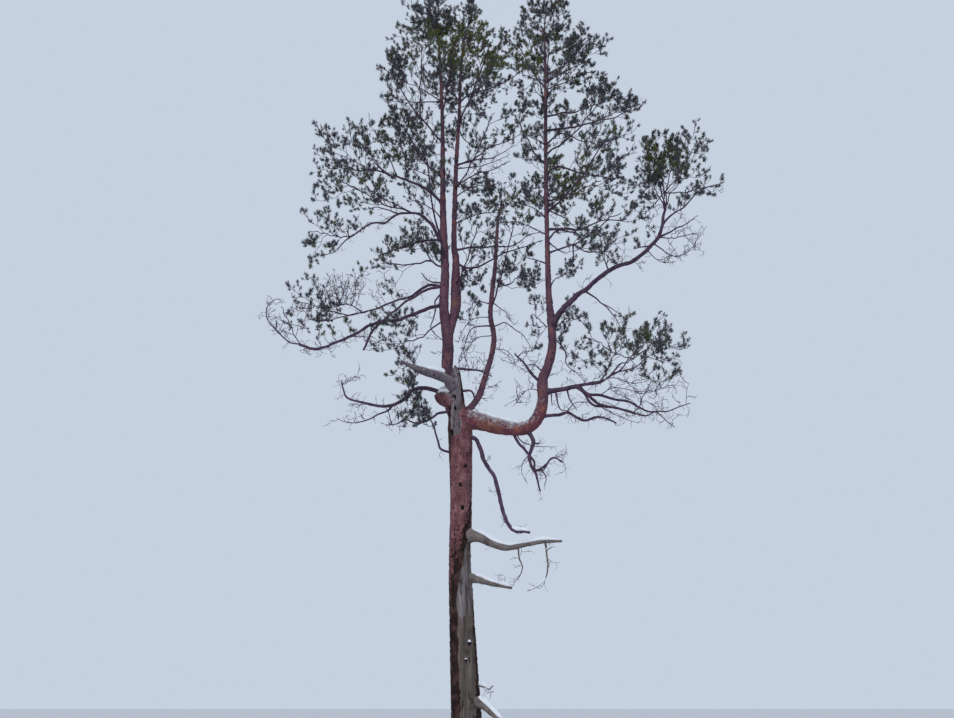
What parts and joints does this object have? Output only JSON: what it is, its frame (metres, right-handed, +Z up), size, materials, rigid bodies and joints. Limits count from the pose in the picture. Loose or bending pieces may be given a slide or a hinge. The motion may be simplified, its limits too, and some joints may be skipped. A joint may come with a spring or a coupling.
{
  "type": "pine tree",
  "caption": "Old pine rooted in the ground: one stout trunk with a dead broken top, live leaders, a long side arm that turns upward, dead lower limbs and open tufted crowns of needles.",
  "frame": {"origin": "middle of the flat cut under the trunk, at ground level", "axes": "+Z up the trunk, +X to the right and +Y away from the viewer in the picture"},
  "size_m": [8.7805, 5.3666, 16.5515],
  "materials": {
    "trunk_bark": "rough plated bark",
    "leader_bark": "thin reddish flaking bark",
    "grey_wood": "weathered wood with no bark",
    "dark_bark": "dark bark of thin boughs",
    "needles": "dark green needles",
    "bare_twigs": "bare dead twigs"
  },
  "bodies": {
    "root": {"trunk": "trunk_bark", "broken_limb": "grey_wood", "old_stub": "leader_bark", "snag_limb": "grey_wood", "left_leader": "leader_bark", "middle_leader": "leader_bark", "curved_leader": "leader_bark", "arm": "leader_bark", "right_leader": "leader_bark", "east_bough": "dark_bark", "south_east_bough": "dark_bark", "drooping_bough": "dark_bark", "right_dead_bough": "dark_bark", "tangle_limb": "dark_bark", "hanging_limb": "dark_bark", "snow_limb": "grey_wood", "low_dead_limb": "grey_wood", "foot_limb": "grey_wood", "west_low_bough": "dark_bark", "west_mid_bough": "dark_bark", "west_high_bough": "dark_bark", "west_top_bough": "dark_bark", "west_dead_bough": "dark_bark", "foliage_west_top": "needles", "foliage_middle_top": "needles", "foliage_middle_upper": "needles", "foliage_west_upper": "needles", "foliage_rear_upper": "needles", "foliage_front_upper": "needles", "foliage_west_rear": "needles", "foliage_far_west": "needles", "foliage_west_band": "needles", "foliage_west_low": "needles", "foliage_west_inner": "needles", "foliage_west_middle": "needles", "foliage_rear_low": "needles", "foliage_west_front": "needles", "foliage_middle_front": "needles", "foliage_middle_rear": "needles", "foliage_middle_low": "needles", "foliage_curved_tip": "needles", "foliage_curved_low": "needles", "foliage_right_top": "needles", "foliage_right_inner": "needles", "foliage_right_shoulder": "needles", "foliage_right_front": "needles", "foliage_right_rear": "needles", "foliage_right_upper": "needles", "foliage_right_between": "needles", "foliage_right_middle": "needles", "foliage_right_back": "needles", "foliage_right_long": "needles", "foliage_right_low": "needles", "foliage_east": "needles", "foliage_south_east": "needles", "foliage_bend": "needles", "foliage_low_west": "needles", "twigs_far_west": "bare_twigs", "twigs_south_east": "bare_twigs", "twigs_east": "bare_twigs"}
  },
  "joints": []
}
